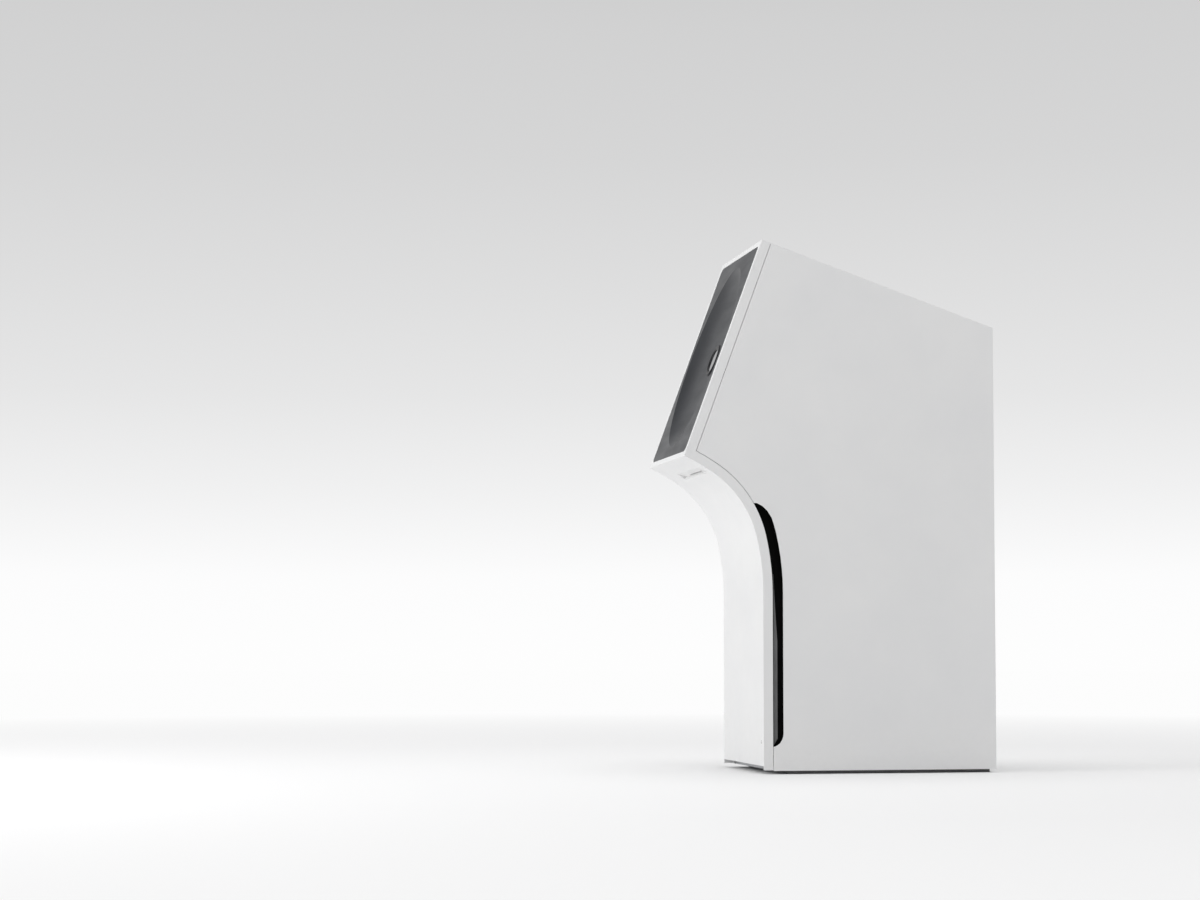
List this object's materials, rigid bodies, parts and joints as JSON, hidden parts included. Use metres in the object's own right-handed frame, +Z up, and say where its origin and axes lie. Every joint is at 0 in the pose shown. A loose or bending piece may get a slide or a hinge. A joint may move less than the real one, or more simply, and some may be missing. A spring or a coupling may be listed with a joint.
{
  "type": "photo booth",
  "caption": "Free-standing photo booth with a leaning dished lens panel on a hinged folded front, print outlet under the lip, side slots and a plain cabinet body.",
  "frame": {"origin": "centre of the footprint box on the floor", "axes": "+Z up, the lens panel and door face -Y, +X is the side with the lock"},
  "size_m": [0.5094, 0.966, 1.6],
  "materials": {
    "white_paint": "satin",
    "dark_face": "satin",
    "black_plastic": "matte",
    "plinth_paint": "satin",
    "grey_steel": "satin",
    "bright_steel": "brushed",
    "bezel_alloy": "satin",
    "lens_glass": "polished",
    "foot_rubber": "matte",
    "printer_case": "satin",
    "paper": "matte",
    "board": "satin",
    "rocker_red": "gloss",
    "anodised_black": "satin"
  },
  "bodies": {
    "cabinet": {"plinth": "plinth_paint", "base_plate": "grey_steel", "levelling_feet": "foot_rubber", "foot_nuts": "bright_steel", "side_panel_left": "white_paint", "side_panel_right": "white_paint", "top_panel": "white_paint", "rear_panel": "white_paint", "rear_screws": "bright_steel", "frame_left": "grey_steel", "frame_right": "grey_steel", "slot_liner_left": "black_plastic", "slot_liner_right": "black_plastic", "slot_scoops": "plinth_paint", "printer_shelf": "grey_steel", "computer_shelf": "grey_steel", "printer_body": "printer_case", "print_chute": "bright_steel", "computer": "anodised_black", "power_supply": "bright_steel", "fan_frame": "black_plastic", "mains_inlet": "black_plastic", "hinge_leaf_body": "bright_steel", "lock_strike": "bright_steel"},
    "front_door": {"door_shell": "white_paint", "face_panel": "dark_face", "face_clamps": "bright_steel", "lens_bezel": "bezel_alloy", "lens_window": "lens_glass", "camera_bracket": "bright_steel", "camera_pivots": "bright_steel", "flash_boards": "board", "print_outlet": "white_paint", "lock_barrel": "bright_steel", "hinge_leaf_door": "bright_steel", "hinge_pins": "bright_steel"},
    "camera": {"camera_body": "anodised_black", "camera_lens": "anodised_black"},
    "lock_cam": {"lock_cam": "bright_steel"},
    "printer_lid": {"printer_lid": "printer_case"},
    "paper_roll": {"paper_roll": "paper"},
    "feed_roller": {"feed_roller": "black_plastic"},
    "fan_rotor": {"fan_rotor": "black_plastic"},
    "power_rocker": {"power_rocker": "rocker_red"}
  },
  "joints": [
    {"name": "door_hinge", "type": "hinge", "parent": "cabinet", "child": "front_door", "pos_m": [-0.2502, -0.223, 1.573], "axis": [0, 0, -1], "range_deg": [0, 95]},
    {"name": "camera_tilt", "type": "hinge", "parent": "front_door", "child": "camera", "pos_m": [0.0047, -0.25739, 1.23383], "axis": [1, 0, 0], "range_deg": [-6, 6]},
    {"name": "lock_turn", "type": "hinge", "parent": "front_door", "child": "lock_cam", "pos_m": [0.2257, -0.2035, 0.095], "axis": [0, -1, 0], "range_deg": [0, 90]},
    {"name": "lid_hinge", "type": "hinge", "parent": "cabinet", "child": "printer_lid", "pos_m": [0.0547, 0.184, 1.0426], "axis": [-1, 0, 0], "range_deg": [0, 75]},
    {"name": "paper_spin", "type": "hinge", "parent": "cabinet", "child": "paper_roll", "pos_m": [0.0547, 0.091, 0.9666], "axis": [1, 0, 0], "continuous": true},
    {"name": "feed_spin", "type": "hinge", "parent": "cabinet", "child": "feed_roller", "pos_m": [0.0547, -0.11, 0.9746], "axis": [1, 0, 0], "continuous": true},
    {"name": "fan_spin", "type": "hinge", "parent": "cabinet", "child": "fan_rotor", "pos_m": [0.0047, 0.4644, 1.13], "axis": [0, 1, 0], "continuous": true},
    {"name": "power_switch", "type": "hinge", "parent": "cabinet", "child": "power_rocker", "pos_m": [-0.1303, 0.477, 0.095], "axis": [-1, 0, 0], "range_deg": [0, 16]}
  ],
  "couplings": [
    {"joint": "feed_spin", "follows": "paper_spin", "ratio": 4.5833}
  ]
}
